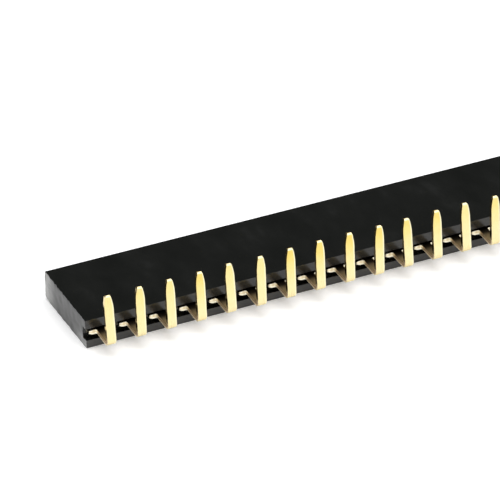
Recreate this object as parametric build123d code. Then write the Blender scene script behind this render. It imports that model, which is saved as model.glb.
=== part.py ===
from build123d import *
import os

# A right-angle female header: one moulded housing and a row of stamped fork contacts.
# It lies on its flat side with the solder tails up.
# Millimetres. +X runs along the row, +Y leaves the mating face, +Z is up.
# The origin is the centre of the housing's flat underside.

# The row
POSITIONS = 40
PITCH = 2.54
END_MARGIN = 1.35            # from an outer contact to the end of the housing

# The housing's section
DEPTH = 8.50                 # rear face to mating face
HEIGHT = 2.45
EDGE_BREAK = 0.10            # off the four long outer edges
LOWER_LIP = 0.66             # wall under the rear groove
UPPER_LIP = 0.76             # wall over the rear groove
GROOVE_DEPTH = 0.60          # how far the rear groove goes in

# The pin that a socket takes, and the way in for it
PIN_SIDE = 0.64
ENTRY_CLEARANCE = 0.105      # each side of the pin
FUNNEL_FLARE = 0.32          # the funnel's mouth beyond the entry, each side
FUNNEL_DEPTH = 0.80
FACE_WALL = 1.30             # mating face to the front end of the contact's slot

# The stamped contact, flat part
STOCK = 0.35                 # thickness of the metal strip
SHOULDER_GAP = 0.48          # between the shoulders of two neighbours
SHOULDER_RECESS = 0.10       # shoulder's rear edge behind the housing's rear face
SHOULDER_TAPER = 0.24        # cut off the shoulder's outer corner
SEAT_LEDGE = 0.10            # what each shoulder rests on beside the body's slot
ROOT_FLARE = 0.08            # shoulder into tail
BARB_HEIGHT = 0.04
BARB_START = 0.55            # from the seat to the barb's biting edge
BODY_LENGTH = 1.90           # seat to the roots of the tines
WEB_LENGTH = 1.40            # seat to the floor of the fork
FORK_GAP = 0.60              # between the tines at their roots
ROOT_WIDTH = 0.36            # one tine at its root
GRIP_WIDTH = 0.31            # one tine at its tip
GRIP_BITE = 0.07             # how far each tine is pushed aside by the pin
MOUTH_LENGTH = 0.65          # grip to the end of the tine
MOUTH_FLARE = 0.17           # the mouth beyond the grip, each side
TIP_CLEARANCE = 0.20         # end of a tine to the front end of the slot
SLOT_CLEARANCE = 0.02        # over and under the metal, in the housing's slot

# The tail
TAIL_WIDTH = 0.74
TAIL_REACH = 2.17            # housing's rear face to the tail's outer face
TAIL_RISE = 3.12             # tail's tip over the housing's top, which sits on the board
BEND_INSIDE = 0.15
TIP_LENGTH = 1.25
TIP_WIDTH = 0.44

# Levels that housing and contact share
REAR = -DEPTH / 2
FACE = DEPTH / 2
PIN_LEVEL = HEIGHT / 2
SEAT = REAR + GROOVE_DEPTH
SLOT_FRONT = FACE - FACE_WALL
HOUSING_LENGTH = (POSITIONS - 1) * PITCH + 2 * END_MARGIN
SHOULDER_HALF = (PITCH - SHOULDER_GAP) / 2
SLOT_HALF = SHOULDER_HALF - SEAT_LEDGE


def block(half_width, y_from, y_to, z_from, z_to):
    """A box centred across X between two Y and two Z levels."""
    size = (2 * half_width, y_to - y_from, z_to - z_from)
    return Pos(0, (y_from + y_to) / 2, (z_from + z_to) / 2) * Box(*size)


def make_funnel(entry_half):
    """A square funnel at the mating face: where a wedge and the same wedge turned upright cross."""
    mouth_half = entry_half + FUNNEL_FLARE
    throat = FACE - FUNNEL_DEPTH
    side = Polyline(
        (-entry_half, throat),
        (entry_half, throat),
        (mouth_half, FACE),
        (-mouth_half, FACE),
        close=True,
    )
    wedge = extrude(make_face(side), mouth_half, both=True)
    return Pos(0, 0, PIN_LEVEL) * (wedge & Rot(0, 90, 0) * wedge)


def make_bar():
    """The housing before its sockets: a section with broken edges and a rear groove."""
    groove_top = HEIGHT - UPPER_LIP
    section = Plane.YZ * Polyline(
        (REAR + EDGE_BREAK, 0),
        (FACE - EDGE_BREAK, 0),
        (FACE, EDGE_BREAK),
        (FACE, HEIGHT - EDGE_BREAK),
        (FACE - EDGE_BREAK, HEIGHT),
        (REAR + EDGE_BREAK, HEIGHT),
        (REAR, HEIGHT - EDGE_BREAK),
        (REAR, groove_top),
        (SEAT, groove_top),
        (SEAT, LOWER_LIP),
        (REAR, LOWER_LIP),
        (REAR, EDGE_BREAK),
        close=True,
    )
    return extrude(make_face(section), HOUSING_LENGTH / 2, both=True)


def make_socket_core():
    """One position: a flat slot for the fork, a square way for the pin, and the funnel into it."""
    entry_half = PIN_SIDE / 2 + ENTRY_CLEARANCE
    slot_half_height = STOCK / 2 + SLOT_CLEARANCE
    slot = block(SLOT_HALF, SEAT, SLOT_FRONT, PIN_LEVEL - slot_half_height, PIN_LEVEL + slot_half_height)
    pin_way = block(entry_half, SEAT, FACE, PIN_LEVEL - entry_half, PIN_LEVEL + entry_half)
    return slot + pin_way + make_funnel(entry_half)


def make_housing():
    """The bar with one socket at each position."""
    core = make_socket_core()
    return make_bar() - [Pos(x, 0, 0) * core for x in contact_places()]


def contact_places():
    """X of every contact, from the left end of the row."""
    first = -(POSITIONS - 1) * PITCH / 2
    return [first + number * PITCH for number in range(POSITIONS)]


def make_blank():
    """The flat part of a contact: tail strip, shoulders, barbed body and the two tines."""
    strip_half = TAIL_WIDTH / 2
    body_half = SLOT_HALF - BARB_HEIGHT
    fork_half = FORK_GAP / 2
    grip_half = PIN_SIDE / 2 - GRIP_BITE
    shoulder_rear = REAR + SHOULDER_RECESS
    barb = SEAT + BARB_START
    tine_root = SEAT + BODY_LENGTH
    tine_end = SLOT_FRONT - TIP_CLEARANCE
    grip = tine_end - MOUTH_LENGTH

    right_side = [
        (strip_half, bend_start()),
        (strip_half, shoulder_rear - ROOT_FLARE),
        (strip_half + ROOT_FLARE, shoulder_rear),
        (SHOULDER_HALF - SHOULDER_TAPER, shoulder_rear),
        (SHOULDER_HALF, shoulder_rear + SHOULDER_TAPER),
        (SHOULDER_HALF, SEAT),
        (body_half, SEAT),
        (body_half, barb),
        (SLOT_HALF, barb),
        (body_half, tine_root),
        (fork_half + ROOT_WIDTH, tine_root),
        (grip_half + GRIP_WIDTH, tine_end),
        (grip_half + MOUTH_FLARE, tine_end),
        (grip_half, grip),
        (fork_half, SEAT + WEB_LENGTH),
    ]
    left_side = [(-x, y) for x, y in reversed(right_side)]
    outline = Pos(0, 0, PIN_LEVEL - STOCK / 2) * Polyline(*right_side, *left_side, close=True)
    return extrude(make_face(outline), STOCK)


def bend_start():
    """Y where the flat strip ends and the bend begins."""
    return REAR - TAIL_REACH + STOCK + BEND_INSIDE


def make_bend():
    """A quarter turn of the strip's section, from level to upright."""
    section = Plane(origin=(0, bend_start(), PIN_LEVEL), x_dir=(1, 0, 0), z_dir=(0, -1, 0))
    level = PIN_LEVEL + STOCK / 2 + BEND_INSIDE
    turn = Axis((0, bend_start(), level), (-1, 0, 0))
    return revolve(section * Rectangle(TAIL_WIDTH, STOCK), turn, 90)


def make_tail():
    """The upright leg, coined to a narrower tip between two curved flanks."""
    foot = PIN_LEVEL + STOCK / 2 + BEND_INSIDE
    tip = HEIGHT + TAIL_RISE
    neck = tip - TIP_LENGTH
    edges = Curve() + [
        Line((TAIL_WIDTH / 2, foot), (TAIL_WIDTH / 2, neck)),
        TangentArc((TAIL_WIDTH / 2, neck), (TIP_WIDTH / 2, tip), tangent=(0, 1)),
    ]
    base = Line((-TAIL_WIDTH / 2, foot), (TAIL_WIDTH / 2, foot))
    top = Line((-TIP_WIDTH / 2, tip), (TIP_WIDTH / 2, tip))
    inner_face = Plane(origin=(0, REAR - TAIL_REACH + STOCK, 0), x_dir=(1, 0, 0), z_dir=(0, -1, 0))
    return extrude(inner_face * make_face(edges + mirror(edges, Plane.YZ) + base + top), STOCK)


def make_contact():
    """One contact, blanked from flat strip and bent up behind the housing."""
    return make_blank() + make_bend() + make_tail()


os.makedirs("parts", exist_ok=True)
export_step(make_housing(), "parts/housing.step")
contact = make_contact()
for number, place in enumerate(contact_places(), start=1):
    export_step(Pos(place, 0, 0) * contact, f"parts/contact_{number:02d}.step")
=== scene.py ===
import math

import bpy
import numpy as np
from mathutils import Matrix, Vector


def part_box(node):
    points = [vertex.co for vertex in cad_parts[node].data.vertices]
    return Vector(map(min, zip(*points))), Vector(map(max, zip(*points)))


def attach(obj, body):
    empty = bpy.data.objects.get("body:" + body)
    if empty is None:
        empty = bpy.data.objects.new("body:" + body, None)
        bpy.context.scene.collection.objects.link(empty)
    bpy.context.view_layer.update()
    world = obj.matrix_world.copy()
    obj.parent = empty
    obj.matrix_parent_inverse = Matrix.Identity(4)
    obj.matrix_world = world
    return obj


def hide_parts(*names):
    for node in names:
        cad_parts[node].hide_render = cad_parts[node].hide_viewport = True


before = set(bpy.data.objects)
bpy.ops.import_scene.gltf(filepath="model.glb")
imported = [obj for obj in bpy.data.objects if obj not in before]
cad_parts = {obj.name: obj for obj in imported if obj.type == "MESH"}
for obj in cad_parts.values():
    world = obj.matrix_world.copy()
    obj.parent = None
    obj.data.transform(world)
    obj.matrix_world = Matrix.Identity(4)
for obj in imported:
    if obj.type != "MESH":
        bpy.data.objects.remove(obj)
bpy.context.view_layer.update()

# Camera
# The strip is seen from over its tails, with a long lens. The angles, the distance and the focal
# length come from fitting the housing's edges and the tails in the 500 by 500 photograph.
IMAGE_SIDE = 500.0
FOCAL_IN_PIXELS = 4621.0
SENSOR_MM = 36.0
AIM = np.array([-0.03752, -0.00598, 0.00612])
AZIMUTH, ELEVATION, ROLL = np.radians([-22.76, 30.28, -2.43])
DISTANCE = 0.35776

back = np.array([
    math.sin(AZIMUTH) * math.cos(ELEVATION),
    -math.cos(AZIMUTH) * math.cos(ELEVATION),
    math.sin(ELEVATION),
])
level_right = np.array([math.cos(AZIMUTH), math.sin(AZIMUTH), 0.0])
level_up = np.cross(back, level_right)
right = math.cos(ROLL) * level_right + math.sin(ROLL) * level_up
up = math.cos(ROLL) * level_up - math.sin(ROLL) * level_right
lens = bpy.data.cameras.new("camera")
lens.sensor_width = SENSOR_MM
lens.lens = FOCAL_IN_PIXELS / IMAGE_SIDE * SENSOR_MM
lens.clip_start = 0.01
lens.clip_end = 10.0
camera = bpy.data.objects.new("camera", lens)
camera.matrix_world = Matrix.Translation(Vector(AIM + back * DISTANCE)) @ Matrix(
    np.column_stack([right, up, back]).tolist()
).to_4x4()
bpy.context.scene.collection.objects.link(camera)
bpy.context.scene.camera = camera
bpy.context.scene.view_settings.view_transform = "Standard"


# Housing
# One injection-moulded bar of black glass-filled plastic, with a groove along its rear face and
# one socket for each contact. The left end is where the strip was cut, and is rough and paler.

# Lengths are in millimetres, and MM turns them into metres. Within NEAR counts as the same place.
MM = 0.001
NEAR = 1e-4
low_corner, high_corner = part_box("housing")
REAR, FACE = low_corner.y / MM, high_corner.y / MM
END, TOP = high_corner.x / MM, high_corner.z / MM
POSITIONS = sum(name.startswith("contact_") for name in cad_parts)
END_MARGIN = 1.35
PITCH = (2 * END - 2 * END_MARGIN) / (POSITIONS - 1)
PLACES = -END + END_MARGIN + PITCH * np.arange(POSITIONS)
GROOVE_LOW, GROOVE_HIGH = 0.66, TOP - 0.76
SEAT = REAR + 0.60
SLOT_FRONT = FACE - 1.30
THROAT = FACE - 0.80
SLOT_HALF, ENTRY_HALF, MOUTH_HALF = 0.93, 0.425, 0.745
SLOT_LINE_AT_FACE = 1.0
SLOT_HALF_HEIGHT = 0.195
MIDDLE = TOP / 2
HOUSING_STEP, END_ROW = 0.2, 0.12
ROUGH_DEPTH, ROUGH_WAVE = 0.022, 1.5
FINE_DEPTH, FINE_WAVE = 0.012, 0.5
NICK_DEPTH, NICK_WAVE = 0.05, 0.5
UPPER_CHIP_DEPTH, UPPER_CHIP_DROP, UPPER_CHIP_WIDTH, UPPER_CHIP_HEIGHT = 0.10, 0.06, 0.9, 0.45
LOWER_CHIP_RISE, LOWER_CHIP_WIDTH, LOWER_CHIP_HEIGHT = 0.20, 0.55, 0.25
HOUSING_ROUNDING = 0.08
LIP_SHARE, END_SHARE = 0.5, 0.4
SHARP_DEGREES = 32
BEVEL_STEPS = 3
PLASTIC_IOR = 1.6


def skin(filled):
    """The quads between a filled cell and an empty one, for a block of cells given as a 3D array
    of booleans. A quad's corners are numbers of the nodes between the cells, and run anticlockwise
    as seen from outside. Returns the node numbers in use and the quads over them."""
    padded = np.pad(filled, 1).astype(np.int8)
    shape = np.array(filled.shape) + 1
    stride = np.array([shape[1] * shape[2], shape[2], 1])
    quads = []
    for axis in range(3):
        inner = [slice(1, -1)] * 3
        inner[axis] = slice(None)
        step = np.diff(padded, axis=axis)[tuple(inner)]
        across, along = stride[(axis + 1) % 3], stride[(axis + 2) % 3]
        for change, order in ((-1, (0, 1, 2, 3)), (1, (0, 3, 2, 1))):
            first = np.argwhere(step == change) @ stride
            corners = np.stack([first, first + across, first + across + along, first + along], axis=1)
            quads.append(corners[:, order])
    used, compact = np.unique(np.concatenate(quads), return_inverse=True)
    return used, compact.reshape(-1, 4)


def add_piece(name, points, quads, materials, material_index=None):
    """A mesh object from an array of points in millimetres and an array of quads."""
    mesh = bpy.data.meshes.new(name)
    mesh.from_pydata((points * MM).tolist(), [], quads.tolist())
    for material in materials:
        mesh.materials.append(material)
    if material_index is not None:
        mesh.polygons.foreach_set("material_index", material_index.astype(np.int32))
    mesh.shade_smooth()
    mesh.set_sharp_from_angle(angle=math.radians(SHARP_DEGREES))
    piece = bpy.data.objects.new(name, mesh)
    bpy.context.scene.collection.objects.link(piece)
    return piece


def keep_values(piece, name, domain, values):
    """Keeps one number for each point or edge of a piece, for its materials or its bevel."""
    attribute = piece.data.attributes.new(name, "FLOAT", domain)
    attribute.data.foreach_set("value", np.asarray(values, np.float32))


def round_edges(piece, weights, width):
    """Rounds each edge by its weight from 0 to 1, which is its share of the width."""
    keep_values(piece, "bevel_weight_edge", "EDGE", weights)
    bevel = piece.modifiers.new("edges", "BEVEL")
    bevel.limit_method = "WEIGHT"
    bevel.width = width * MM
    bevel.segments = BEVEL_STEPS
    return bevel


def edge_ends(mesh):
    """The two point numbers of each edge of a mesh."""
    ends = np.empty(len(mesh.edges) * 2, np.int32)
    mesh.edges.foreach_get("vertices", ends)
    return ends.reshape(-1, 2)


def fill_between(stops, step):
    """The stops in rising order, with evenly spaced values added so that no gap is over step."""
    stops = np.unique(np.round(stops, 5))
    runs = [
        np.linspace(a, b, max(1, math.ceil((b - a) / step)), endpoint=False)
        for a, b in zip(stops[:-1], stops[1:])
    ]
    return np.append(np.concatenate(runs), stops[-1])


def ripples(points, seed, wave, count=9):
    """Smooth noise, mostly from -1 to 1: sines in random directions, added up and divided by the
    root of twice their count. Their waves are wave millimetres long, give or take a half."""
    rng = np.random.default_rng(seed)
    ways = rng.normal(size=(count, points.shape[-1]))
    ways *= (2 * np.pi / wave) * rng.uniform(0.6, 1.8, (count, 1)) / np.linalg.norm(ways, axis=1)[:, None]
    return np.sin(points @ ways.T + rng.uniform(0, 2 * np.pi, count)).sum(-1) / math.sqrt(2 * count)


def node_tree(name):
    """A new material with nodes: the material, its node tree and its Principled shader."""
    material = bpy.data.materials.new(name)
    material.use_nodes = True
    tree = material.node_tree
    return material, tree, tree.nodes["Principled BSDF"]


def set_input(tree, socket, value):
    """Gives an input a constant, or links it to another node's output."""
    if isinstance(value, bpy.types.NodeSocket):
        tree.links.new(value, socket)
    else:
        socket.default_value = value


def object_place(tree):
    """The place on the object in metres, whole and as its X, Y and Z."""
    place = tree.nodes.new("ShaderNodeTexCoord").outputs["Object"]
    axes = tree.nodes.new("ShaderNodeSeparateXYZ")
    tree.links.new(place, axes.inputs["Vector"])
    return place, axes.outputs


def kept(tree, name):
    """The number that keep_values kept under a name."""
    node = tree.nodes.new("ShaderNodeAttribute")
    node.attribute_name = name
    return node.outputs["Fac"]


def noise_on(tree, place, scale, detail=4.0, roughness=0.55, stretch=(1, 1, 1)):
    """A noise texture of so many cells to the metre. An axis with a stretch under 1 has longer ones."""
    mapping = tree.nodes.new("ShaderNodeMapping")
    mapping.inputs["Scale"].default_value = stretch
    texture = tree.nodes.new("ShaderNodeTexNoise")
    texture.inputs["Scale"].default_value = scale
    texture.inputs["Detail"].default_value = detail
    texture.inputs["Roughness"].default_value = roughness
    tree.links.new(place, mapping.inputs["Vector"])
    tree.links.new(mapping.outputs["Vector"], texture.inputs["Vector"])
    return texture.outputs["Fac"]


def ramp_of(tree, value, stops):
    """A colour ramp of (position, colour) stops over a value."""
    ramp = tree.nodes.new("ShaderNodeValToRGB")
    while len(ramp.color_ramp.elements) < len(stops):
        ramp.color_ramp.elements.new(0.5)
    for element, (position, colour) in zip(ramp.color_ramp.elements, stops):
        element.position = position
        element.color = (*colour, 1)
    tree.links.new(value, ramp.inputs["Fac"])
    return ramp.outputs["Color"]


def span(tree, value, low_in, high_in, low_out, high_out):
    """A value carried from one range to another, held at its ends."""
    node = tree.nodes.new("ShaderNodeMapRange")
    for socket, number in zip(node.inputs[1:5], (low_in, high_in, low_out, high_out)):
        socket.default_value = number
    tree.links.new(value, node.inputs["Value"])
    return node.outputs["Result"]


def calculated(tree, operation, *values):
    """One sum over values that are constants or other nodes' outputs."""
    node = tree.nodes.new("ShaderNodeMath")
    node.operation = operation
    for socket, value in zip(node.inputs, values):
        set_input(tree, socket, value)
    return node.outputs["Value"]


def mixed(tree, share, first, second):
    """The first colour where share is 0, the second where it is 1, and a mix between."""
    node = tree.nodes.new("ShaderNodeMix")
    node.data_type = "RGBA"
    for socket, value in zip((node.inputs[0], node.inputs[6], node.inputs[7]), (share, first, second)):
        set_input(tree, socket, value)
    return node.outputs[2]


def bump_from(tree, shader, height, distance):
    """A bump on the shader, as deep as the distance in millimetres."""
    bump = tree.nodes.new("ShaderNodeBump")
    bump.inputs["Distance"].default_value = distance * MM
    bump.inputs["Strength"].default_value = 1.0
    tree.links.new(height, bump.inputs["Height"])
    tree.links.new(bump.outputs["Normal"], shader.inputs["Normal"])


def make_moulded_black():
    """Semi-matt moulded plastic: nearly black, with a fine spark-eroded grain and faint handling
    marks. The rear face has a painted sheen: it is painted a paler grey, its lower lip more than its upper
    one."""
    material, tree, shader = node_tree("moulded_black")
    place, axes = object_place(tree)
    marks = noise_on(tree, place, 420, 5.0, 0.6, (1, 0.45, 1))
    grain = noise_on(tree, place, 9000, 2.0)
    colour = ramp_of(tree, marks, [
        (0.35, (0.0062, 0.0070, 0.0061)),
        (0.60, (0.0085, 0.0093, 0.0083)),
        (0.80, (0.016, 0.0168, 0.016)),
    ])
    # Painted sheen: the rear face is painted paler grey, more on the lower lip, standing in for the light it
    # reflects.
    on_rear = span(tree, axes["Y"], (REAR + 0.03) * MM, (REAR + 0.07) * MM, 1.0, 0.0)
    greyness = span(tree, axes["Z"], GROOVE_LOW * MM, GROOVE_HIGH * MM, 0.050, 0.018)
    painted_sheen = ramp_of(tree, greyness, [(0.0, (0, 0, 0)), (1.0, (1, 1, 0.96))])
    shader.inputs["IOR"].default_value = PLASTIC_IOR
    set_input(tree, shader.inputs["Base Color"], mixed(tree, on_rear, colour, painted_sheen))
    set_input(tree, shader.inputs["Roughness"], span(tree, marks, 0.3, 0.75, 0.14, 0.24))
    bump_from(tree, shader, grain, 0.0025)
    return material


def make_cut_black():
    """The sawn end: the same plastic with glass fibres laid bare, paler low down near the rear
    face, with saw lines level with the underside. Its palest far end is a painted reflection."""
    material, tree, shader = node_tree("cut_black")
    place, axes = object_place(tree)
    cloud = noise_on(tree, place, 700, 4.0, 0.6, (1, 0.5, 1))
    lines = noise_on(tree, place, 5200, 3.0, 0.6, (1, 0.10, 1))
    # Painted reflection: the far end is painted paler, standing in for the bright table it mirrors beyond
    # the corner.
    far_end = span(tree, axes["Y"], 1.8 * MM, 3.6 * MM, 0.0, 0.92)
    near_end = span(tree, axes["Y"], -3.4 * MM, -1.2 * MM, 0.76, 0.0)
    low_down = span(tree, axes["Z"], 0.7 * MM, 1.3 * MM, 1.0, 0.0)
    near_low = calculated(tree, "MULTIPLY", near_end, low_down)
    streaks = span(tree, lines, 0.35, 0.65, -0.12, 0.12)
    paleness = span(tree, cloud, 0.3, 0.7, -0.12, 0.18)
    for part in (far_end, near_low, streaks):
        paleness = calculated(tree, "ADD", paleness, part)
    colour = ramp_of(tree, paleness, [
        (0.0, (0.04, 0.04, 0.04)),
        (0.5, (0.14, 0.141, 0.138)),
        (1.0, (0.40, 0.402, 0.394)),
    ])
    shader.inputs["IOR"].default_value = PLASTIC_IOR
    set_input(tree, shader.inputs["Base Color"], colour)
    set_input(tree, shader.inputs["Roughness"], span(tree, lines, 0.3, 0.7, 0.3, 0.42))
    bump_from(tree, shader, lines, 0.004)
    return material


def housing_lines():
    """Where the housing's cells meet along X, Y and Z: at each edge of a socket, and between them."""
    socket_edges = np.array([-SLOT_HALF, -ENTRY_HALF, ENTRY_HALF, SLOT_HALF])
    end_lines = [-END, -END + END_ROW, END - END_ROW, END]
    xs = np.concatenate([end_lines, (PLACES[:, None] + socket_edges).ravel()])
    ys = fill_between([REAR, SEAT, SLOT_FRONT, THROAT, FACE], HOUSING_STEP)
    zs = fill_between([0, GROOVE_LOW, MIDDLE - ENTRY_HALF, MIDDLE - SLOT_HALF_HEIGHT,
                       MIDDLE + SLOT_HALF_HEIGHT, GROOVE_HIGH, TOP], HOUSING_STEP)
    return np.sort(xs), ys, zs


def housing_cells(xs, ys, zs):
    """Which cells hold plastic: all but the groove, the flat slots and the square ways for the pins."""
    x = (xs[:-1] + xs[1:]) / 2
    y = (ys[:-1] + ys[1:]) / 2
    z = (zs[:-1] + zs[1:]) / 2
    off_axis = np.abs(x[:, None] - PLACES).min(1)[:, None, None]
    off_middle = np.abs(z - MIDDLE)
    groove = (y < SEAT)[:, None] & ((z > GROOVE_LOW) & (z < GROOVE_HIGH))
    slot = (off_axis < SLOT_HALF) & (y < SLOT_FRONT)[:, None] & (off_middle < SLOT_HALF_HEIGHT)
    pin_way = (off_axis < ENTRY_HALF) & (off_middle < ENTRY_HALF)
    return ~(groove[None] | slot | pin_way)


def open_funnels(points, at_face):
    """Moves the nodes at the mating face. The lines beside each square way spread to the funnel's
    mouth, and those between it and the next way, or the housing's top and underside, make room
    by shares of the straight distance."""
    nearest = PLACES[np.abs(points[:, :1] - PLACES).argmin(1)]
    offset = points[:, 0] - nearest
    lines = [0, ENTRY_HALF, SLOT_HALF, PITCH / 2]
    spread = np.interp(np.abs(offset), lines, [0, MOUTH_HALF, SLOT_LINE_AT_FACE, PITCH / 2])
    beside = at_face & (np.abs(offset) < PITCH / 2)
    points[:, 0] = np.where(beside, nearest + np.sign(offset) * spread, points[:, 0])
    levels = [-MIDDLE, -ENTRY_HALF, ENTRY_HALF, MIDDLE]
    spread = np.interp(points[:, 2] - MIDDLE, levels, [-MIDDLE, -MOUTH_HALF, MOUTH_HALF, MIDDLE])
    points[:, 2] = np.where(at_face, MIDDLE + spread, points[:, 2])


def bell(flat, y, z, width_y, width_z):
    """1 at the place y, z of the cut end, falling off as e to the minus square of the distance,
    which is counted in widths along Y and Z."""
    return np.exp(-((flat[:, 1] - y) / width_y) ** 2 - ((flat[:, 2] - z) / width_z) ** 2)


def roughen_cut(points, flat, cut):
    """Pushes the cut end in: by coarse and fine ripples over it, by nicks along its upper edge,
    where the ripples are above zero, that grow towards the mating face, and by a bell-shaped chip
    off each of its two far corners."""
    ends = flat[:, 1:]
    rough = ROUGH_DEPTH * (1 + ripples(ends, 4, ROUGH_WAVE)) + FINE_DEPTH * (1 + ripples(ends, 5, FINE_WAVE))
    growth = 0.6 + 1.2 * np.clip(flat[:, 1] / FACE, 0, 1)
    bites = np.maximum(0.5 + 1.6 * ripples(flat[:, 1:2], 6, NICK_WAVE), 0)
    nicks = NICK_DEPTH * growth * bites * (flat[:, 2] > TOP - 0.01)
    upper_chip = bell(flat, FACE, TOP, UPPER_CHIP_WIDTH, UPPER_CHIP_HEIGHT)
    lower_chip = bell(flat, FACE, 0, LOWER_CHIP_WIDTH, LOWER_CHIP_HEIGHT)
    points[cut, 0] += (np.maximum(rough, 0) + nicks + UPPER_CHIP_DEPTH * upper_chip)[cut]
    points[cut, 2] += (LOWER_CHIP_RISE * lower_chip - UPPER_CHIP_DROP * upper_chip)[cut]


def housing_roundness(mesh, flat):
    """Bevel weights: the long outer edges 1, the lips of the groove and the ends less."""
    a, b = flat[edge_ends(mesh)].swapaxes(0, 1)

    def both(axis, value):
        return (np.abs(a[:, axis] - value) < NEAR) & (np.abs(b[:, axis] - value) < NEAR)

    outer_y = both(1, REAR) | both(1, FACE)
    outer_z = both(2, 0) | both(2, TOP)
    ends_x = both(0, -END) | both(0, END)
    lip = both(1, REAR) & (both(2, GROOVE_LOW) | both(2, GROOVE_HIGH))
    weight = np.zeros(len(a))
    weight[lip] = LIP_SHARE
    weight[ends_x & (outer_y | outer_z)] = END_SHARE
    weight[outer_y & outer_z] = 1.0
    return weight


def make_housing():
    """The skin of the housing's cells, opened into funnels at the mating face and roughened at
    the cut left end."""
    xs, ys, zs = housing_lines()
    used, quads = skin(housing_cells(xs, ys, zs))
    i, j, k = np.unravel_index(used, (len(xs), len(ys), len(zs)))
    flat = np.stack([xs[i], ys[j], zs[k]], axis=1)
    points = flat.copy()
    open_funnels(points, j == len(ys) - 1)
    roughen_cut(points, flat, i == 0)
    on_cut = (i[quads] == 0).all(1)
    piece = add_piece("housing_body", points, quads, [make_moulded_black(), make_cut_black()], on_cut)
    round_edges(piece, housing_roundness(piece.data, flat), HOUSING_ROUNDING)
    return piece


housing = make_housing()
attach(housing, "root")
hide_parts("housing")


# Contacts
# Each is one stamped strip of gold-plated copper alloy: a fork of two tines inside the housing,
# a barbed body, shoulders in the groove, and a tail that runs out level and turns straight up.

# The contact is laid out flat first. Its Y then falls all the way from the tines' ends, past the
# start of the bend, to the tail's tip.
STOCK = 0.35
TAIL_HALF, TIP_HALF, TIP_LENGTH = 0.365, 0.20, 1.25
BODY_HALF, BARB_BITE = 0.89, 0.04
EAR_START, EAR_HALF, EAR_TO_BODY = 0.70, 1.03, 0.1
EAR_ROUNDING, EAR_THINNING, EAR_SLOPE = 0.26, 0.45, 0.05
ROOT_FILLET = 0.10
BARB = SEAT + 0.55
TINE_ROOT = SEAT + 1.90
FORK_FLOOR = SEAT + 1.40
TINE_END = SLOT_FRONT - 0.20
GRIP = TINE_END - 0.65
FLOOR_HALF_GAP, GRIP_HALF_GAP, MOUTH_FLARE = 0.30, 0.25, 0.17
TINE_ROOT_HALF, TINE_TIP_HALF = 0.66, 0.56
STEP_LENGTH = 0.02
EAR_REAR = REAR + 0.10
BEND_RADIUS = 0.325
ROUNDING_ROOM = 0.002
tail_low, tail_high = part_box("contact_01")
BEND_START = tail_low.y / MM + ROUNDING_ROOM + STOCK / 2 + BEND_RADIUS
BEND_LENGTH = BEND_RADIUS * math.pi / 2
LEG_LENGTH = tail_high.z / MM - MIDDLE - BEND_RADIUS
TAIL_END = BEND_START - BEND_LENGTH - LEG_LENGTH
CORE_CELLS, WING_CELLS, EAR_CELLS, LAYERS = 4, 6, 5, 2
COLUMNS = 2 * (EAR_CELLS + WING_CELLS) + CORE_CELLS
CONTACT_STEP, TIP_ROW = 0.12, 0.24
TURN_LENGTH = 2
WANDER_DEPTH, WANDER_WAVE = 0.010, 1.1
FRAY_DEPTH, FRAY_WAVE = 0.003, 0.28
RIGHT_EDGE_SHARE, EDGES_APART = 0.35, 5.0
CONTACT_ROUNDING, DEBURRED_SHARE, SHARP_COSINE = 0.085, 0.35, 0.7

# The tip's last row, by layer from the tail's outer face to its inner one: how far it is cut
# back, and its share of the width to the left and to the right.
TIP_CUT_BACK = np.array([0.095, 0, 0.09])
TIP_LEFT = np.array([1.0, 0.70, 0.60])
TIP_RIGHT = np.array([1.0, 0.90, 0.80])

# The 13 tails in full view, judged in the photograph: degrees of lean to the left, of
# droop in the level strip and of turn above the bend, and how deep the gold is from 0 to 1.
# The rest are drawn by chance, with a spread like theirs.
LEANS = [1.2, -0.2, 0.7, 0.9, 1.8, -0.1, -0.1, 0.4, 0.0, -0.4, 1.9, 0.9, 1.8]
SAGS = [3.0, 1.0, 1.0, 2.0, 0.0, 2.5, 1.5, 1.0, 1.0, 2.0, 1.5, 0.5, 0.0]
TWISTS = [5.0, 4.0]
DEEPS = [0.0, 0.2, 0.2, 0.9, 0.1, 0.1, 1.0, 1.0, 0.9, 1.0, 0.7, 0.7, 0.1]
LEAN_SPREAD, MOST_SAG, MOST_TWIST = 0.7, 2.5, 2


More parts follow.
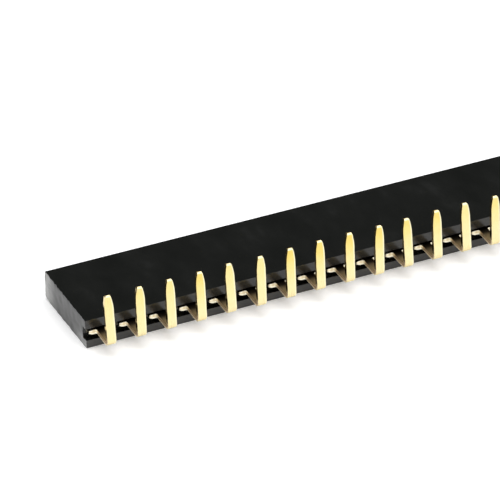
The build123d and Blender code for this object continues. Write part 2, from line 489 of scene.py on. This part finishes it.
def make_gold():
    """Thin bright gold over nickel: pale low down and deeper towards the tail's tip, more so on
    some contacts, with a painted highlight along the right edge and faint rolling lines. The
    level strip is duller, and painted brown with painted shade, darkest next to the housing."""
    material, tree, shader = node_tree("gold_plating")
    place, axes = object_place(tree)
    height = span(tree, axes["Z"], 2.2 * MM, 5.0 * MM, 0.0, 0.60)
    deepness = span(tree, kept(tree, "deep"), 0, 1, 0.65, 1.45)
    cloud = span(tree, noise_on(tree, place, 1500, 3.0), 0.3, 0.7, 0.0, 0.16)
    upright = ramp_of(tree, calculated(tree, "MULTIPLY_ADD", height, deepness, cloud), [
        (0.05, (0.955, 0.825, 0.465)),
        (0.45, (0.95, 0.775, 0.355)),
        (0.75, (0.93, 0.72, 0.245)),
        (1.0, (0.905, 0.67, 0.18)),
    ])
    # Painted highlight: the right edge of the upright tail is painted pale, where it would mirror the bright
    # table.
    at_right = span(tree, kept(tree, "across"), 0.66, 0.80, 0.0, 1.0)
    painted_sheen = mixed(tree, at_right, upright, (0.99, 0.90, 0.60, 1))
    # Painted shade: the level strip is painted dull brown, darkening to near black next to the housing,
    # where the upper lip shades it.
    painted_shade = ramp_of(tree, span(tree, axes["Y"], -5.4 * MM, -4.5 * MM, 0.0, 1.0), [
        (0.0, (0.41, 0.30, 0.15)),
        (0.45, (0.26, 0.19, 0.10)),
        (0.9, (0.07, 0.05, 0.03)),
    ])
    off_leg = span(tree, axes["Y"], -6.00 * MM, -5.85 * MM, 0.0, 1.0)
    low_down = span(tree, axes["Z"], 1.45 * MM, 1.65 * MM, 1.0, 0.0)
    level = calculated(tree, "MULTIPLY", off_leg, low_down)
    lines = noise_on(tree, place, 16000, 2.0, 0.5, (1, 0.06, 0.06))
    drawn = span(tree, lines, 0.3, 0.7, 0.24, 0.36)
    set_input(tree, shader.inputs["Base Color"], mixed(tree, level, painted_sheen, painted_shade))
    set_input(tree, shader.inputs["Metallic"], 1.0)
    set_input(tree, shader.inputs["Roughness"], calculated(tree, "MULTIPLY_ADD", level, 0.10, drawn))
    bump_from(tree, shader, lines, 0.0012)
    return material


def make_sheared_gold():
    """The stamped edges under the plating. The tail's are smooth and mirror-like, the level strip's
    rough and brown over a bright line where the punch rolled the metal, and the shoulders' pale and
    burnished, with a thin darker line across the middle of the metal's thickness."""
    material, tree, shader = node_tree("gold_on_sheared_edge")
    place, axes = object_place(tree)
    depth = kept(tree, "depth")
    upright = span(tree, axes["Z"], 1.55 * MM, 1.75 * MM, 0.0, 1.0)
    shoulder = span(tree, axes["Y"], -4.40 * MM, -4.25 * MM, 0.0, 1.0)
    ragged = ramp_of(tree, depth, [
        (0.0, (1.0, 0.88, 0.64)),
        (0.28, (0.95, 0.77, 0.50)),
        (0.48, (0.50, 0.34, 0.19)),
        (0.8, (0.45, 0.30, 0.16)),
        (1.0, (0.70, 0.50, 0.28)),
    ])
    burnished = ramp_of(tree, depth, [
        (0.0, (1.0, 0.94, 0.76)),
        (0.40, (1.0, 0.93, 0.73)),
        (0.50, (0.84, 0.66, 0.40)),
        (0.58, (1.0, 0.91, 0.65)),
        (1.0, (1.0, 0.95, 0.80)),
    ])
    tail = mixed(tree, upright, ragged, (0.92, 0.72, 0.36, 1))
    bright = calculated(tree, "MAXIMUM", upright, shoulder)
    set_input(tree, shader.inputs["Base Color"], mixed(tree, shoulder, tail, burnished))
    set_input(tree, shader.inputs["Metallic"], span(tree, bright, 0, 1, 0.45, 1.0))
    set_input(tree, shader.inputs["Roughness"], span(tree, upright, 0, 1, 0.38, 0.13))
    bump_from(tree, shader, noise_on(tree, place, 5000, 3.0), 0.0008)
    return material


def make_rolled_gold():
    """The rounded edges and the tail's cut tip: pale bright gold, slightly rubbed."""
    material, tree, shader = node_tree("gold_on_rolled_edge")
    place, _ = object_place(tree)
    worn = noise_on(tree, place, 3500, 3.0)
    colour = ramp_of(tree, worn, [(0.35, (0.88, 0.75, 0.40)), (0.65, (0.90, 0.81, 0.54))])
    set_input(tree, shader.inputs["Base Color"], colour)
    set_input(tree, shader.inputs["Metallic"], 1.0)
    set_input(tree, shader.inputs["Roughness"], span(tree, worn, 0.3, 0.7, 0.38, 0.52))
    return material


def contact_rows():
    """Where rows of cells cross the flat strip, from the tail's tip to the tines' ends."""
    tail = [TAIL_END, TAIL_END + TIP_ROW, TAIL_END + TIP_LENGTH, BEND_START - BEND_LENGTH, BEND_START]
    body = [EAR_REAR, SEAT, BARB, BARB + STEP_LENGTH]
    fork = [FORK_FLOOR, TINE_ROOT, TINE_ROOT + STEP_LENGTH, GRIP, TINE_END]
    return fill_between(tail + body + fork, CONTACT_STEP)


def contact_cells(rows):
    """Which cells hold metal. Across the strip: ear, wing, core, wing, ear. The core stops at the
    fork's floor, the wings run from the shoulders to the tines' ends, the ears are the shoulders."""
    y = (rows[:-1] + rows[1:]) / 2
    core = y < FORK_FLOOR
    wing = y > EAR_REAR
    ear = (y > EAR_REAR) & (y < SEAT)
    columns = [ear] * EAR_CELLS + [wing] * WING_CELLS + [core] * CORE_CELLS
    columns += [wing] * WING_CELLS + [ear] * EAR_CELLS
    return np.repeat(np.stack(columns)[:, :, None], LAYERS, axis=2)


def half_widths(y):
    """Half of the core's width and where the wings end, at y along the flat strip. The tip narrows
    and the mouth flares by the square of the way along them, and the rest runs in straight lines."""
    into_tip = np.clip((TAIL_END + TIP_LENGTH - y) / TIP_LENGTH, 0, 1)
    tail = TAIL_HALF - (TAIL_HALF - TIP_HALF) * into_tip ** 2
    into_mouth = np.clip((y - GRIP) / (TINE_END - GRIP), 0, 1)
    gap = np.interp(y, [FORK_FLOOR, GRIP], [FLOOR_HALF_GAP, GRIP_HALF_GAP]) + MOUTH_FLARE * into_mouth ** 2
    core = np.where(y > FORK_FLOOR, gap, tail)
    wing = np.interp(
        y,
        [SEAT - EAR_TO_BODY, SEAT, BARB, BARB + STEP_LENGTH, TINE_ROOT, TINE_ROOT + STEP_LENGTH, TINE_END],
        [EAR_START, BODY_HALF, BODY_HALF, BODY_HALF + BARB_BITE, BODY_HALF, TINE_ROOT_HALF, TINE_TIP_HALF],
    )
    return core, wing


def bent(y, t):
    """Carries y along the flat strip and the height t over the metal's middle round the bend:
    level up to its start, then a quarter circle, then straight up. Returns Y and Z."""
    gone = BEND_START - y
    turn = np.clip(gone / BEND_RADIUS, 0, math.pi / 2)
    radius = BEND_RADIUS - t
    up_leg = np.maximum(gone - BEND_LENGTH, 0)
    place_y = np.where(gone < 0, y, BEND_START - radius * np.sin(turn))
    place_z = np.where(gone < 0, MIDDLE + t, MIDDLE + BEND_RADIUS - radius * np.cos(turn) + up_leg)
    return place_y, place_z


def askew(x, y, z, lean, twist):
    """Above the bend the tail turns about its upright middle line, all of the way from
    TURN_LENGTH on, and leans to the left as far as the height times the tangent. It moves inwards
    by the sine of its half width, so that its outer face stays where it is."""
    over = np.maximum(z - MIDDLE - BEND_RADIUS, 0)
    turn = math.radians(twist) * np.minimum(over / TURN_LENGTH, 1)
    from_leg = y - BEND_START + BEND_RADIUS
    new_y = y - x * np.sin(turn) - from_leg * (1 - np.cos(turn)) + TAIL_HALF * np.sin(turn)
    new_x = x * np.cos(turn) + from_leg * np.sin(turn) - over * math.tan(math.radians(lean))
    new_z = z - over * (1 - math.cos(math.radians(lean)))
    return np.stack([new_x, new_y, new_z], axis=1)


def contact_points(rows, used, seed, lean, sag, twist):
    """The nodes of one contact. Across the strip a node is a share of the core, wing or ear; along
    it a row; through it a layer. Shoulders are rounded by a quarter circle and thinner to their
    ends, edges wander as a worn punch leaves them, and the tail is a little askew."""
    i, j, k = np.unravel_index(used, (COLUMNS + 1, len(rows), LAYERS + 1))
    side = np.where(i > COLUMNS / 2, 1.0, -1.0)
    out = np.abs(i - COLUMNS / 2)
    at_tip = rows[j] < TAIL_END + NEAR
    y = rows[j] + np.where(at_tip, TIP_CUT_BACK[k], 0)
    core, wing = half_widths(y)
    core = np.where(at_tip, core * np.where(side < 0, TIP_LEFT[k], TIP_RIGHT[k]), core)
    half_core = CORE_CELLS / 2
    in_wing = np.clip((out - half_core) / WING_CELLS, 0, 1)
    in_ear = np.clip((out - half_core - WING_CELLS) / EAR_CELLS, 0, 1)
    reach = core * np.minimum(out / half_core, 1) + (wing - core) * in_wing + (EAR_HALF - wing) * in_ear
    beside_core = out >= half_core

    to_end = np.clip((reach - EAR_START) / (EAR_HALF - EAR_START), 0, 1)
    t = STOCK * (k / LAYERS - 0.5) * (1 - EAR_THINNING * to_end * (y < SEAT - NEAR))
    rounding = EAR_ROUNDING * (1 - np.sqrt(1 - to_end ** 2))
    fillet = ROOT_FILLET * np.clip(1 - (reach - TAIL_HALF) / ROOT_FILLET, 0, 1) ** 2
    shaped = (np.abs(y - EAR_REAR) < NEAR) & beside_core
    y = y + np.where(shaped, rounding - fillet + EAR_SLOPE * k / LAYERS, 0)

    spots = np.stack([y, side * EDGES_APART + seed], axis=1)
    wander = WANDER_DEPTH * ripples(spots, 11 + seed, WANDER_WAVE)
    wander = wander + FRAY_DEPTH * ripples(spots, 41 + seed, FRAY_WAVE)
    share = np.where(side < 0, 1.0, RIGHT_EDGE_SHARE) * (beside_core & (y < EAR_REAR))
    x = side * (reach + wander * share)

    place_y, place_z = bent(y, t)
    place_z = place_z - math.tan(math.radians(sag)) * np.clip(EAR_REAR - y, 0, EAR_REAR - BEND_START)
    return askew(x, place_y, place_z, lean, twist), (i, j, k)


def stamped_roundness(mesh, quads, y, k):
    """Bevel weights for a contact's edges, outside the housing only. The punch drew the metal over
    along the lower, outer face, so edges there get the full width; the rest are only deburred.
    An edge counts where the cosine between its two faces' normals is under SHARP_COSINE."""
    normals = np.empty(len(quads) * 3)
    mesh.polygons.foreach_get("normal", normals)
    normals = normals.reshape(-1, 3)
    sides = np.stack([quads, np.roll(quads, -1, axis=1)], axis=-1).reshape(-1, 2)
    codes = sides.min(1) * len(y) + sides.max(1)
    order = np.argsort(codes, kind="stable")
    pairs = (order // 4).reshape(-1, 2)
    sharp = (normals[pairs[:, 0]] * normals[pairs[:, 1]]).sum(1) < SHARP_COSINE
    sharp_codes = codes[order[::2]][sharp]

    ends = edge_ends(mesh)
    drawn_over = (k[ends] == 0).all(1) & (y[ends] > TAIL_END + NEAR).any(1)
    outside = (y[ends] < SEAT - NEAR).all(1)
    chosen = np.isin(ends.min(1) * len(y) + ends.max(1), sharp_codes) & outside
    return np.where(chosen, np.where(drawn_over, 1.0, DEBURRED_SHARE), 0.0)


finishes = [make_gold(), make_sheared_gold(), make_rolled_gold()]
ON_FACE, ON_EDGE, ON_TIP = range(3)
rows = contact_rows()
used, contact_quads = skin(contact_cells(rows))
scatter = np.random.default_rng(7)
leans = LEANS + list(scatter.normal(0, LEAN_SPREAD, POSITIONS - len(LEANS)))
sags = SAGS + list(scatter.uniform(0, MOST_SAG, POSITIONS - len(SAGS)))
twists = TWISTS + list(scatter.uniform(0, MOST_TWIST, POSITIONS - len(TWISTS)))
deeps = DEEPS + list(scatter.uniform(0, 1, POSITIONS - len(DEEPS)))
for index, (place, lean, sag, twist, deep) in enumerate(zip(PLACES, leans, sags, twists, deeps)):
    number = index + 1
    points, (i, j, k) = contact_points(rows, used, number, lean, sag, twist)
    points[:, 0] += place
    layers = k[contact_quads]
    finish = np.where(layers.min(1) != layers.max(1), ON_EDGE, ON_FACE)
    finish[(j[contact_quads] == 0).all(1)] = ON_TIP
    contact = add_piece(f"contact_{number:02d}_metal", points, contact_quads, finishes, finish)
    keep_values(contact, "depth", "POINT", k / LAYERS)
    keep_values(contact, "across", "POINT", (i - COLUMNS / 2) / (CORE_CELLS / 2))
    keep_values(contact, "deep", "POINT", np.full(len(points), deep))
    if number == 1:
        roundness = stamped_roundness(contact.data, contact_quads, rows[j], k)
    bevel = round_edges(contact, roundness, CONTACT_ROUNDING)
    bevel.harden_normals = True
    bevel.material = ON_TIP
    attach(contact, "root")
    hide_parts(f"contact_{number:02d}")


# Floor and light
# A white matt table under a long softbox that hangs over the row, a little behind it. Round them
# is a dim white tent, with a bright card low in front and a dark gap on its far side. The table
# looks whiter than it is, as in an overexposed photograph, and keeps its shadows.
FLOOR_HALF = 1.2
TABLE_WHITE, WHITE_TO_GLOSS, MORE_TO_THE_EYE = 0.84, 1.0, 0.22
LIFT = 0.07
TENT, CARD, GAP_SHARE = 0.34, 0.60, 0.13
LAMP_LENGTH, LAMP_WIDTH = 2.1, 0.75
LAMP_PLACE = Vector((0.04, 0.10, 0.80))
LAMP_POWER = 10.0


def make_table_white():
    """White matt table, lifted to paper white for the eye and for reflections only."""
    material, tree, shader = node_tree("table_white")
    path = tree.nodes.new("ShaderNodeLightPath")
    to_eye = path.outputs["Is Camera Ray"]
    seen = calculated(tree, "MAXIMUM", to_eye, path.outputs["Is Glossy Ray"])
    whiteness = span(tree, seen, 0, 1, TABLE_WHITE, WHITE_TO_GLOSS)
    whiteness = calculated(tree, "MULTIPLY_ADD", to_eye, MORE_TO_THE_EYE, whiteness)
    set_input(tree, shader.inputs["Base Color"], whiteness)
    set_input(tree, shader.inputs["Roughness"], 0.6)
    set_input(tree, shader.inputs["Specular IOR Level"], 0.2)
    glow = tree.nodes.new("ShaderNodeEmission")
    set_input(tree, glow.inputs["Strength"], span(tree, seen, 0, 1, 0, LIFT))
    table = tree.nodes.new("ShaderNodeAddShader")
    tree.links.new(shader.outputs["BSDF"], table.inputs[0])
    tree.links.new(glow.outputs["Emission"], table.inputs[1])
    tree.links.new(table.outputs["Shader"], tree.nodes["Material Output"].inputs["Surface"])
    return material


floor_corners = np.array([[-1, -1, 0], [1, -1, 0], [1, 1, 0], [-1, 1, 0]]) * (FLOOR_HALF / MM)
floor = add_piece("floor", floor_corners, np.array([[0, 1, 2, 3]]), [make_table_white()])

world = bpy.data.worlds.new("tent")
bpy.context.scene.world = world
world.use_nodes = True
sky = world.node_tree
direction = sky.nodes.new("ShaderNodeTexCoord")
way = sky.nodes.new("ShaderNodeSeparateXYZ")
sky.links.new(direction.outputs["Generated"], way.inputs["Vector"])
in_front = span(sky, way.outputs["Y"], -0.70, -0.35, 1.0, 0.0)
low_card = span(sky, way.outputs["Z"], 0.45, 0.70, CARD, 0.0)
walls = calculated(sky, "MULTIPLY_ADD", in_front, low_card, TENT)
far_side = span(sky, way.outputs["Y"], 0.25, 0.65, 0.0, 1.0)
below_lamp = span(sky, way.outputs["Z"], 0.62, 0.85, 1.0, 0.0)
gap = span(sky, calculated(sky, "MULTIPLY", far_side, below_lamp), 0, 1, 1.0, GAP_SHARE)
background = sky.nodes["Background"]
background.inputs["Color"].default_value = (1, 1, 1, 1)
set_input(sky, background.inputs["Strength"], calculated(sky, "MULTIPLY", walls, gap))

softbox = bpy.data.lights.new("softbox", "AREA")
softbox.shape = "RECTANGLE"
softbox.size = LAMP_LENGTH
softbox.size_y = LAMP_WIDTH
softbox.energy = LAMP_POWER
lamp = bpy.data.objects.new("softbox", softbox)
lamp.location = LAMP_PLACE
lamp.rotation_euler = (-LAMP_PLACE).to_track_quat("-Z", "Y").to_euler()
bpy.context.scene.collection.objects.link(lamp)
